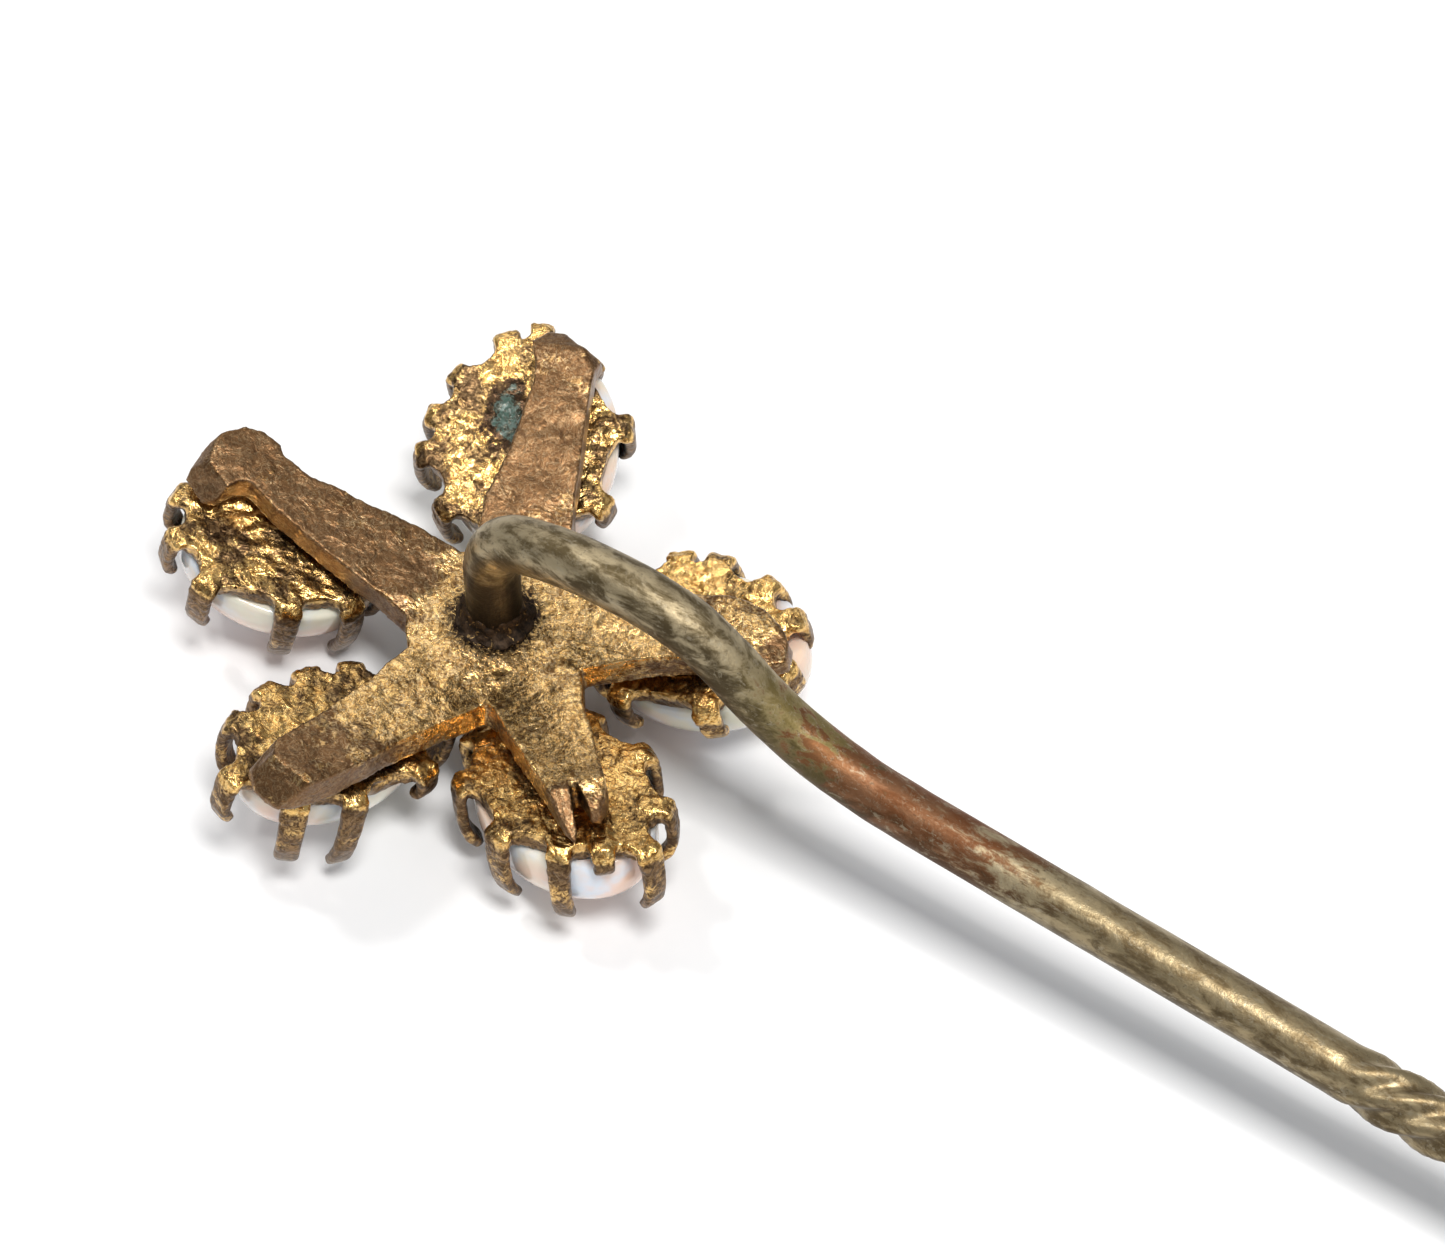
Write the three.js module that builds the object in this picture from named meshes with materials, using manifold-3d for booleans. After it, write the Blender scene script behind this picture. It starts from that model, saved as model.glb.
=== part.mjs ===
// A stick pin: a five-armed star carries five claw-set oval stones, and a bent wire with a twisted grip is its pin.
// Millimetres. The head lies face down, so +Z leaves its back, and the stem runs along +X to the point.
import * as THREE from "three";
import { mergeVertices } from "three/addons/utils/BufferGeometryUtils.js";
import Module from "manifold-3d";

const wasm = await Module();
wasm.setup();

const DEGREE = Math.PI / 180;
const JOINT_GAP = 0.03; // clearance left where two pieces meet

// Pin wire: centreline points (x, z) up from the socket, over the arch and down to the straight stem
const WIRE_RADIUS = 0.58;
const POST = { x: -0.18, y: 0.11 }; // the post stands a little off the star's centre
const WIRE_SIDES = 10;
const ARCH = [
  [0, -0.4],
  [0, 1.2],
  [0.05, 2.2],
  [0.45, 3.0],
  [1.3, 3.45],
  [2.5, 3.7],
  [3.7, 3.75],
  [4.8, 3.55],
  [5.6, 3.05],
  [6.5, 2.3],
  [7.6, 1.65],
  [8.9, 1.24],
  [10.2, 1.07],
];
const ARCH_STEPS = 40;
const STEM_SLOPE = -0.068;
const TWIST_START = 9.5; // measured along the stem from the end of the arch
const TWIST_LENGTH = 12;
const TWIST_PITCH = 5.4;
const TWIST_RIDGES = 5;
const RIDGE_HEIGHT = 0.07;
const TWIST_FADE = 1.2;
const STEM_LENGTH = 57;
const STEM_STEPS = 84;
const POINT_TAPER = 10;
const POINT_RADIUS = 0.08;

// Star frame: the arms rise outwards from the flat middle of the hub, so the star is a shallow dish
const DISH = 14 * DEGREE;
const FLAT_RADIUS = 1.4;
const ARM_THICKNESS = 0.75;
const ARM_ROOT = 1.12; // half the arm's width where it leaves the hub
const ARM_WAIST = 0.8; // and at its narrowest
const HUB_RADIUS = 2.15;
const HUB_BEVEL = 0.15;
const FOOT_DROP = 0.27; // the arm's end bends down this far on to its cup
const FOOT_LENGTH = 0.9;
const SOCKET_RADIUS = WIRE_RADIUS + JOINT_GAP;
const SOCKET_DEPTH = 0.42;

// Solder round the foot of the post
const COLLAR_RADIUS = 0.92;
const COLLAR_HEIGHT = 0.5;
const COLLAR_SKIRT = 0.22;

// Claw cup: an oval plate with claws bent down from its edge over the stone
const CUP_LONG = 2.4;
const CUP_SHORT = 1.7;
const PLATE_TOP = -1.05;
const PLATE_THICKNESS = 0.3;
const SEAT_INSET = 0.2;
const SEAT_THICKNESS = 0.15;
const CLAWS = 10;
const CLAW_WIDTH = 0.52;
const CLAW_DEPTH = 0.28;
const CLAW_ROOT = 0.5; // how far the claw reaches in over the plate
const CLAW_SHOULDER = 0.27; // how far it stands out from the plate's edge
const CLAW_BEND = 1.5; // how far below the plate's top it starts to curl in
const CLAW_TIP = -3.0;

// Stone: an oval cabochon with its flat back on the seat
const STONE_LONG = CUP_LONG - 0.07;
const STONE_SHORT = CUP_SHORT - 0.07;
const GIRDLE_HEIGHT = 0.32;
const DOME_HEIGHT = 1.5;

// Solder between an arm and its cup
const SOLDER_RADIUS = 0.45;
const SOLDER_WAIST = 0.37;

// Boss on the front of the hub, with a grain in each gap between two petals
const BOSS_RADIUS = 0.82;
const BOSS_CENTRE = -1.95;
const BOSS_NECK = 0.4;
const WEB_THICKNESS = 0.2;
const GRAIN_RADIUS = 0.24;
const GRAIN_RING = 1.13;

// The head is handmade, so every petal has its own arm and cup. Angles are in degrees round the hub.
const PETALS = [
  { arm: 180, reach: 6.9, tip: 0.86, notch: 0.18, solder: 4.6, cup: { along: 5.0, across: -0.03, bearing: -174, turn: 199 } },
  { arm: 112.5, reach: 6.7, tip: 0.82, notch: 0.16, solder: 4.5, cup: { along: 4.66, across: -0.08, bearing: 119, turn: 114 } },
  { arm: -105.5, reach: 6.25, tip: 0.78, notch: 0.16, solder: 4.0, cup: { along: 3.83, across: 0.1, bearing: -113, turn: -116 } },
  { arm: -36.7, reach: 5.15, tip: 0.48, notch: 0.65, solder: 3.3, cup: { along: 3.38, across: 0.11, bearing: -38, turn: -17 } },
  { arm: 26, reach: 6.0, tip: 0.84, notch: 0.4, solder: 3.6, cup: { along: 3.59, across: -0.2, bearing: 38, turn: 17 } },
];
const GRAIN_ANGLES = [-78, -147, 155, 82, 2];

const MATERIALS = {
  gilt: new THREE.MeshStandardMaterial({ color: 0xa98247, roughness: 0.42, metalness: 1 }),
  cup: new THREE.MeshStandardMaterial({ color: 0xc79a45, roughness: 0.38, metalness: 1 }),
  wire: new THREE.MeshStandardMaterial({ color: 0x8d8468, roughness: 0.4, metalness: 1 }),
  solder: new THREE.MeshStandardMaterial({ color: 0x6b5a45, roughness: 0.6, metalness: 1 }),
  opal: new THREE.MeshStandardMaterial({ color: 0xe4e2e6, roughness: 0.12, metalness: 0 }),
};

function toSolid(geometry) {
  const bare = geometry.index ? geometry.toNonIndexed() : geometry.clone();
  bare.deleteAttribute("normal");
  bare.deleteAttribute("uv");
  const merged = mergeVertices(bare, 1e-4);
  const vertProperties = new Float32Array(merged.attributes.position.array);
  const triVerts = new Uint32Array(merged.index.array);
  return new wasm.Manifold(new wasm.Mesh({ numProp: 3, vertProperties, triVerts }));
}

function toGeometry(solid) {
  const mesh = solid.getMesh();
  const geometry = new THREE.BufferGeometry();
  geometry.setAttribute("position", new THREE.BufferAttribute(new Float32Array(mesh.vertProperties), 3));
  geometry.setIndex(new THREE.BufferAttribute(new Uint32Array(mesh.triVerts), 1));
  geometry.computeVertexNormals();
  return geometry;
}

function joined(geometries) {
  return toGeometry(geometries.map(toSolid).reduce((whole, piece) => whole.add(piece)));
}

function moveVertices(geometry, move) {
  const points = geometry.attributes.position;
  const point = new THREE.Vector3();
  for (let i = 0; i < points.count; i += 1) {
    point.fromBufferAttribute(points, i);
    move(point);
    points.setXYZ(i, point.x, point.y, point.z);
  }
  return geometry;
}

// A lathe profile of (radius, height) pairs turned about Z
function turned(profile, sides) {
  const points = profile.map(([radius, height]) => new THREE.Vector2(radius, height));
  return new THREE.LatheGeometry(points, sides).rotateX(Math.PI / 2);
}

function discShape(radius, sides) {
  const shape = new THREE.Shape();
  for (let i = 0; i < sides; i += 1) {
    const angle = (i / sides) * 2 * Math.PI;
    const method = i === 0 ? "moveTo" : "lineTo";
    shape[method](radius * Math.cos(angle), radius * Math.sin(angle));
  }
  return shape;
}

function stemRadius(distance, angle) {
  const left = STEM_LENGTH - distance;
  const taper = Math.min(1, left / POINT_TAPER);
  const plain = POINT_RADIUS + (WIRE_RADIUS - POINT_RADIUS) * Math.sqrt(Math.max(0, taper * (2 - taper)));
  const end = TWIST_START + TWIST_LENGTH;
  const fade = THREE.MathUtils.smoothstep(distance, TWIST_START, TWIST_START + TWIST_FADE)
    * (1 - THREE.MathUtils.smoothstep(distance, end - TWIST_FADE, end));
  const phase = TWIST_RIDGES * (angle + gripTurn(distance));
  return plain + fade * RIDGE_HEIGHT * Math.cos(phase);
}

// The straight stem is a bar along Z whose section swells into the twisted grip and tapers to the point
function stemGeometry() {
  const sides = 2 * TWIST_RIDGES;
  const bar = new THREE.ExtrudeGeometry(discShape(1, sides), {
    depth: STEM_LENGTH,
    steps: STEM_STEPS,
    bevelEnabled: false,
  });
  moveVertices(bar, (point) => {
    const step = Math.round((point.z / STEM_LENGTH) * STEM_STEPS);
    point.z = stemDistance(step / STEM_STEPS);
    const turn = gripTurn(point.z);
    const angle = Math.atan2(point.y, point.x) - turn;
    const radius = stemRadius(point.z, angle);
    point.x = radius * Math.cos(angle);
    point.y = radius * Math.sin(angle);
  });
  return bar;
}

// Steps are close together along the grip and far apart elsewhere
function stemDistance(fraction) {
  const gripStart = TWIST_START - 0.5;
  const gripEnd = TWIST_START + TWIST_LENGTH + 0.5;
  const before = 0.08;
  const after = 0.84;
  if (fraction < before) return (fraction / before) * gripStart;
  if (fraction < after) return gripStart + ((fraction - before) / (after - before)) * (gripEnd - gripStart);
  return gripEnd + ((fraction - after) / (1 - after)) * (STEM_LENGTH - gripEnd);
}

// The section turns with the ridges, so that the bar's long edges lie on them
function gripTurn(distance) {
  const along = THREE.MathUtils.clamp(distance - TWIST_START, 0, TWIST_LENGTH);
  return (2 * Math.PI * along) / TWIST_PITCH;
}

function pinWireGeometry() {
  const points = ARCH.map(([x, z]) => new THREE.Vector3(x, 0, z));
  const path = new THREE.CatmullRomCurve3(points, false, "centripetal");
  const arch = new THREE.ExtrudeGeometry(discShape(WIRE_RADIUS, WIRE_SIDES), {
    steps: ARCH_STEPS,
    extrudePath: path,
    bevelEnabled: false,
  });
  const [startX, startZ] = ARCH.at(-1);
  const overlap = 0.15;
  const stem = stemGeometry();
  stem.rotateY(Math.PI / 2 - Math.atan(STEM_SLOPE));
  stem.translate(startX - overlap, 0, startZ - overlap * STEM_SLOPE);
  return joined([arch, stem]);
}

// An arm lies along X with its back at Z = 0. Its plan outline flares at the forked end.
function armOutline({ reach, tip, notch }) {
  const neck = Math.min(ARM_WAIST, tip + 0.1);
  const side = [
    [0.3, ARM_ROOT],
    [1.6, ARM_ROOT],
    [2.4, 0.95],
    [3.4, 0.86],
    [reach - 1.6, neck],
    [reach - FOOT_LENGTH, neck],
    [reach - 0.5, tip],
    [reach - 0.12, tip * 0.92],
    [reach, tip * 0.6],
  ];
  const shape = new THREE.Shape();
  shape.moveTo(...side[0]);
  for (const [x, y] of side.slice(1)) shape.lineTo(x, y);
  shape.lineTo(reach - notch, 0);
  for (const [x, y] of [...side].reverse()) shape.lineTo(x, -y);
  shape.closePath();
  return shape;
}

// Seen from the side, an arm is a flat bar whose last part, the foot, bends down on to the cup
function armSideShape(reach) {
  const bend = reach - FOOT_LENGTH;
  const outline = [
    [0, 0],
    [bend, 0],
    [reach - 0.25, -FOOT_DROP],
    [reach, -FOOT_DROP - 0.2],
    [reach + 0.1, -FOOT_DROP - ARM_THICKNESS],
    [reach - 0.35, -FOOT_DROP - ARM_THICKNESS],
    [bend + 0.1, -ARM_THICKNESS],
    [0, -ARM_THICKNESS],
  ];
  return new THREE.Shape(outline.map(([x, z]) => new THREE.Vector2(x, z)));
}

function armSolid(petal) {
  const tall = 3;
  const wide = 3;
  const plan = new THREE.ExtrudeGeometry(armOutline(petal), { depth: tall, bevelEnabled: false });
  plan.translate(0, 0, 1 - tall);
  const side = new THREE.ExtrudeGeometry(armSideShape(petal.reach), { depth: wide, bevelEnabled: false });
  side.translate(0, 0, -wide / 2);
  side.rotateX(Math.PI / 2);
  const arm = toGeometry(toSolid(plan).intersect(toSolid(side)));
  arm.translate(-FLAT_RADIUS, 0, 0).rotateY(-DISH).translate(FLAT_RADIUS, 0, 0);
  return toSolid(arm.rotateZ(petal.arm * DEGREE));
}

function starFrameGeometry() {
  const rise = (HUB_RADIUS - FLAT_RADIUS) * Math.tan(DISH);
  const hub = turned([
    [0, -ARM_THICKNESS],
    [FLAT_RADIUS, -ARM_THICKNESS],
    [HUB_RADIUS - HUB_BEVEL, rise - ARM_THICKNESS],
    [HUB_RADIUS, rise - ARM_THICKNESS + HUB_BEVEL],
    [HUB_RADIUS, rise - HUB_BEVEL],
    [HUB_RADIUS - HUB_BEVEL, rise - 0.06],
    [FLAT_RADIUS, 0],
    [0, 0],
  ], 30);
  const bore = 2;
  const socket = new THREE.CylinderGeometry(SOCKET_RADIUS, SOCKET_RADIUS, bore, 20).rotateX(Math.PI / 2);
  socket.translate(POST.x, POST.y, bore / 2 - SOCKET_DEPTH - JOINT_GAP);
  const star = PETALS.map(armSolid).reduce((whole, arm) => whole.add(arm), toSolid(hub));
  return toGeometry(star.subtract(toSolid(socket)));
}

function collarGeometry() {
  const inner = WIRE_RADIUS + JOINT_GAP;
  const base = 2 * JOINT_GAP;
  return turned([
    [inner, base],
    [COLLAR_RADIUS, base],
    [COLLAR_RADIUS - 0.06, base + COLLAR_SKIRT / 2],
    [inner + 0.1, base + COLLAR_SKIRT],
    [inner, base + COLLAR_HEIGHT],
    [inner, base],
  ], 20);
}

// The oval's edge point and outward direction at a claw
function ovalEdge(angle) {
  const point = new THREE.Vector2(CUP_LONG * Math.cos(angle), CUP_SHORT * Math.sin(angle));
  const outward = Math.atan2(CUP_LONG * Math.sin(angle), CUP_SHORT * Math.cos(angle));
  return { point, outward };
}

// A claw's side outline as (outward, height) pairs, extruded across its width
function clawGeometry(angle) {
  const inner = CLAW_SHOULDER - CLAW_DEPTH;
  const bottom = PLATE_TOP - PLATE_THICKNESS;
  const bend = PLATE_TOP - CLAW_BEND;
  const outline = [
    [-CLAW_ROOT, PLATE_TOP],
    [0.05, PLATE_TOP],
    [CLAW_SHOULDER - 0.06, PLATE_TOP - 0.09],
    [CLAW_SHOULDER, bottom],
    [CLAW_SHOULDER - 0.03, bend + 0.6],
    [0.1, bend],
    [-0.14, CLAW_TIP],
    [-0.34, CLAW_TIP + 0.1],
    [-0.12, bend + 0.05],
    [inner, bend + 0.65],
    [inner, bottom],
    [-CLAW_ROOT, bottom],
  ];
  const shape = new THREE.Shape(outline.map(([out, height]) => new THREE.Vector2(out, height)));
  const claw = new THREE.ExtrudeGeometry(shape, { depth: CLAW_WIDTH, bevelEnabled: false });
  const { point, outward } = ovalEdge(angle);
  claw.translate(0, 0, -CLAW_WIDTH / 2);
  claw.rotateX(Math.PI / 2);
  claw.rotateZ(outward);
  return claw.translate(point.x, point.y, 0);
}

function cupGeometry() {
  const bottom = PLATE_TOP - PLATE_THICKNESS;
  const plate = turned([
    [0, bottom - SEAT_THICKNESS],
    [CUP_LONG - SEAT_INSET, bottom - SEAT_THICKNESS],
    [CUP_LONG - SEAT_INSET, bottom],
    [CUP_LONG, bottom],
    [CUP_LONG, PLATE_TOP - 0.06],
    [CUP_LONG - 0.08, PLATE_TOP],
    [0, PLATE_TOP],
  ], 30).scale(1, CUP_SHORT / CUP_LONG, 1);
  const claws = [];
  for (let i = 0; i < CLAWS; i += 1) claws.push(clawGeometry((i / CLAWS) * 2 * Math.PI));
  return joined([plate, ...claws]);
}

function stoneGeometry() {
  const back = PLATE_TOP - PLATE_THICKNESS - SEAT_THICKNESS - JOINT_GAP;
  const girdle = back - GIRDLE_HEIGHT;
  const profile = [];
  const domeSteps = 6;
  for (let i = 0; i <= domeSteps; i += 1) {
    const angle = (i / domeSteps) * (Math.PI / 2);
    profile.push([STONE_LONG * Math.sin(angle), girdle - DOME_HEIGHT * Math.cos(angle)]);
  }
  profile.push([STONE_LONG, back - 0.05], [STONE_LONG - 0.05, back], [0, back]);
  return turned(profile, 24).scale(1, STONE_SHORT / STONE_LONG, 1);
}

function solderGeometry() {
  const top = -ARM_THICKNESS - JOINT_GAP;
  const base = PLATE_TOP + JOINT_GAP;
  return turned([
    [0, base],
    [SOLDER_RADIUS, base],
    [SOLDER_WAIST, (top + base) / 2],
    [SOLDER_RADIUS, top],
    [0, top],
  ], 14);
}

function bossGeometry() {
  const neckTop = -ARM_THICKNESS - JOINT_GAP;
  const profile = [];
  const ballSteps = 8;
  const neckAngle = Math.acos(BOSS_NECK / BOSS_RADIUS) + Math.PI / 2;
  for (let i = 0; i <= ballSteps; i += 1) {
    const angle = (i / ballSteps) * neckAngle;
    profile.push([BOSS_RADIUS * Math.sin(angle), BOSS_CENTRE - BOSS_RADIUS * Math.cos(angle)]);
  }
  profile.push([BOSS_NECK, neckTop], [0, neckTop]);
  const grains = GRAIN_ANGLES.map((angle) => {
    const grain = new THREE.SphereGeometry(GRAIN_RADIUS, 10, 6);
    return grain.translate(GRAIN_RING, 0, BOSS_CENTRE).rotateZ(angle * DEGREE);
  });
  const webRadius = GRAIN_RING - GRAIN_RADIUS / 2;
  const web = new THREE.CylinderGeometry(webRadius, webRadius, WEB_THICKNESS, 20).rotateX(Math.PI / 2);
  web.translate(0, 0, BOSS_CENTRE);
  return joined([turned(profile, 20), web, ...grains]);
}

function part(name, geometry, material, parent) {
  const mesh = new THREE.Mesh(geometry, material);
  mesh.name = name;
  parent.add(mesh);
  return mesh;
}

// A group whose X axis leads outwards and upwards along the dish at a bearing round the hub
function dishGroup(bearing) {
  const bend = new THREE.Group();
  bend.rotation.y = -DISH;
  bend.position.x = FLAT_RADIUS;
  const swing = new THREE.Group();
  swing.rotation.z = bearing * DEGREE;
  swing.add(bend);
  return { swing, bend };
}

function addPetal(parent, petal, number) {
  const arm = dishGroup(petal.arm);
  const solder = part(`solder_pad_${number}`, solderGeometry(), MATERIALS.solder, arm.bend);
  solder.position.x = petal.solder - FLAT_RADIUS;
  const { along, across, bearing, turn } = petal.cup;
  const seat = dishGroup(bearing);
  const cup = new THREE.Group();
  cup.position.x = along - FLAT_RADIUS;
  cup.position.y = across;
  cup.rotation.z = (turn - bearing) * DEGREE;
  part(`claw_cup_${number}`, cupGeometry(), MATERIALS.cup, cup);
  part(`opal_stone_${number}`, stoneGeometry(), MATERIALS.opal, cup);
  seat.bend.add(cup);
  parent.add(arm.swing, seat.swing);
}

const pin = new THREE.Group();
part("star_frame", starFrameGeometry(), MATERIALS.gilt, pin);
const post = new THREE.Group();
post.position.set(POST.x, POST.y, 0);
part("pin_wire", pinWireGeometry(), MATERIALS.wire, post);
part("post_solder_collar", collarGeometry(), MATERIALS.solder, post);
pin.add(post);
part("front_boss", bossGeometry(), MATERIALS.gilt, pin);
PETALS.forEach((petal, index) => addPetal(pin, petal, index + 1));

// The origin is under the middle of the pin, on the surface that it lies on
pin.updateMatrixWorld(true);
const bounds = new THREE.Box3().setFromObject(pin, true);
const middle = bounds.getCenter(new THREE.Vector3());
pin.position.set(-middle.x, -middle.y, -bounds.min.z);

const model = new THREE.Group();
model.add(pin);

export default model;
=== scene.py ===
import math
import random

import bmesh
import bpy
from mathutils import Matrix, Vector, noise


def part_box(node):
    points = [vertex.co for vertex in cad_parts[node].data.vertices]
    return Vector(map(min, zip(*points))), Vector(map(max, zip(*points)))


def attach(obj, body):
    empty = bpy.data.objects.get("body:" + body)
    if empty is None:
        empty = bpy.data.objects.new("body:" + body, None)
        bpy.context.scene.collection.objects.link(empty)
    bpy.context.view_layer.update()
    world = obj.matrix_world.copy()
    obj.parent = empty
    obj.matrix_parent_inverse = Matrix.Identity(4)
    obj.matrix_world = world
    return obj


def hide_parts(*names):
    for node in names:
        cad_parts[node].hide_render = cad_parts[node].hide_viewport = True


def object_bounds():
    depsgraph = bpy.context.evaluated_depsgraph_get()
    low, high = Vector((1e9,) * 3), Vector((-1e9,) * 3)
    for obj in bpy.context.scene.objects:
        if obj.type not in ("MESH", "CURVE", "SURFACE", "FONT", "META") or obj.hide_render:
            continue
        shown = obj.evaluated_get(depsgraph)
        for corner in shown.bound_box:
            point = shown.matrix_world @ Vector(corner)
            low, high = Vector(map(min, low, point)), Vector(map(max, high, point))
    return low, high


mm = 0.001
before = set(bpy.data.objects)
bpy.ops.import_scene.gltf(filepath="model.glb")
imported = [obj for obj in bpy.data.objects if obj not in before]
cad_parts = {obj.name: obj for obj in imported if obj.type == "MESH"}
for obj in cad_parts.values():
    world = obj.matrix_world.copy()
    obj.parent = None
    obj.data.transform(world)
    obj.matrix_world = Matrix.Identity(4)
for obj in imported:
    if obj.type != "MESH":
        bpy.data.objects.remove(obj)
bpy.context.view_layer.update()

# The head is modelled in millimetres from the middle of the hub's back; the solder ring shows where that is.
headPlace = {
    "dish": 14,  # degrees that the arms rise outwards
    "flatRadius": 1.4,
    "postOffset": (-0.18, 0.11),
    "ringGap": 0.06,
}
ringLow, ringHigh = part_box("post_solder_collar")
postFoot = Vector(((ringLow.x + ringHigh.x) / 2, (ringLow.y + ringHigh.y) / 2, ringLow.z)) / mm
postFoot.z -= headPlace["ringGap"]
hubCentre = postFoot - Vector((*headPlace["postOffset"], 0))
print("frame loaded, hub at", [round(value, 2) for value in hubCentre])


def swing(bearing):
    return Matrix.Rotation(math.radians(bearing), 4, "Z")


def dishMatrix(bearing):  # X leads outwards and up along the dish
    flat = headPlace["flatRadius"]
    tilt = Matrix.Rotation(math.radians(-headPlace["dish"]), 4, "Y")
    return swing(bearing) @ Matrix.Translation((flat, 0, 0)) @ tilt @ Matrix.Translation((-flat, 0, 0))


def smoothStep(value, start, end):
    share = min(1, max(0, (value - start) / (end - start)))
    return share * share * (3 - 2 * share)


def vertsOf(geom):
    return [item for item in geom if isinstance(item, bmesh.types.BMVert)]


def slab(bm, outline, top, thickness, matrix=Matrix()):  # a plate cut to an outline
    face = bm.faces.new([bm.verts.new(matrix @ Vector((x, y, top))) for x, y in outline])
    pulled = bmesh.ops.extrude_face_region(bm, geom=[face], use_keep_orig=True)["geom"]
    bmesh.ops.translate(bm, verts=vertsOf(pulled), vec=matrix.to_3x3() @ Vector((0, 0, -thickness)))
    geom = set()
    for corner in [*face.verts, *vertsOf(pulled)]:
        geom.update((corner, *corner.link_edges, *corner.link_faces))
    return geom


def shave(bm, geom, place, direction, slope, matrix):  # files one flat facet and returns what is left
    tilt = Matrix.Rotation(math.radians(slope), 3, "Y")
    normal = matrix.to_3x3() @ swing(direction).to_3x3() @ tilt @ Vector((0, 0, 1))
    cut = bmesh.ops.bisect_plane(bm, geom=list(geom), dist=1e-5, plane_co=matrix @ Vector((*place, 0)),
                                 plane_no=normal, clear_outer=True)
    rim = [item for item in cut["geom_cut"] if isinstance(item, bmesh.types.BMEdge)]
    facet = bmesh.ops.contextual_create(bm, geom=rim)["faces"]
    return {item for item in cut["geom"] if item.is_valid} | set(facet)


def sweptBar(bm, rings):  # pulls one ring of points to the next, and closes both ends
    sides = len(rings[0])
    ring = bmesh.ops.create_circle(bm, cap_ends=True, radius=1, segments=sides)["verts"]
    for index, places in enumerate(rings):
        if index:
            edges = [bm.edges.get((ring[i - 1], ring[i])) for i in range(sides)]
            pulled = set(vertsOf(bmesh.ops.extrude_edge_only(bm, edges=edges)["geom"]))
            ring = [next(edge.other_vert(vertex) for edge in vertex.link_edges
                         if edge.other_vert(vertex) in pulled) for vertex in ring]
        for vertex, place in zip(ring, places):
            vertex.co = place
    bmesh.ops.contextual_create(bm, geom=[bm.edges.get((ring[i - 1], ring[i])) for i in range(sides)])


def fused(bm, voxel, passes):  # melts overlapping pieces into one skin with soft inner corners
    bmesh.ops.recalc_face_normals(bm, faces=bm.faces[:])
    mesh = bpy.data.meshes.new("melt")
    bm.to_mesh(mesh)
    bm.free()
    helper = bpy.data.objects.new("melt", mesh)
    bpy.context.scene.collection.objects.link(helper)
    remesh = helper.modifiers.new("skin", "REMESH")
    remesh.mode = "VOXEL"
    remesh.voxel_size = voxel
    soften = helper.modifiers.new("soften", "SMOOTH")
    soften.factor = 0.5
    soften.iterations = passes
    skin = bpy.data.meshes.new_from_object(helper.evaluated_get(bpy.context.evaluated_depsgraph_get()))
    bpy.data.objects.remove(helper)
    bpy.data.meshes.remove(mesh)
    result = bmesh.new()
    result.from_mesh(skin)
    bpy.data.meshes.remove(skin)
    return result


def roughen(bm, size, height, seed, strength=lambda place: 1):  # pushes the skin in and out like a cast one
    bm.normal_update()
    shift = Vector((seed, -seed, 2 * seed))
    moves = []
    for vertex in bm.verts:
        value = noise.turbulence(vertex.co / size + shift, 3, True) - 0.6
        moves.append(vertex.normal * value * height * strength(vertex.co))
    for vertex, move in zip(bm.verts, moves):
        vertex.co += move


def paint(bm, name, value):  # one number at each point, which the material reads
    layer = bm.verts.layers.float.new(name)
    for vertex in bm.verts:
        vertex[layer] = value(vertex.co)


def addPiece(name, bm, material, node, origin):
    bmesh.ops.transform(bm, matrix=Matrix.Scale(mm, 4) @ Matrix.Translation(origin), verts=bm.verts[:])
    bmesh.ops.recalc_face_normals(bm, faces=bm.faces[:])
    for face in bm.faces:
        face.smooth = True
    mesh = bpy.data.meshes.new(name)
    bm.to_mesh(mesh)
    bm.free()
    mesh.materials.append(material)
    piece = bpy.data.objects.new(name, mesh)
    bpy.context.scene.collection.objects.link(piece)
    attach(piece, "root")
    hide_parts(node)
    return piece


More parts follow.
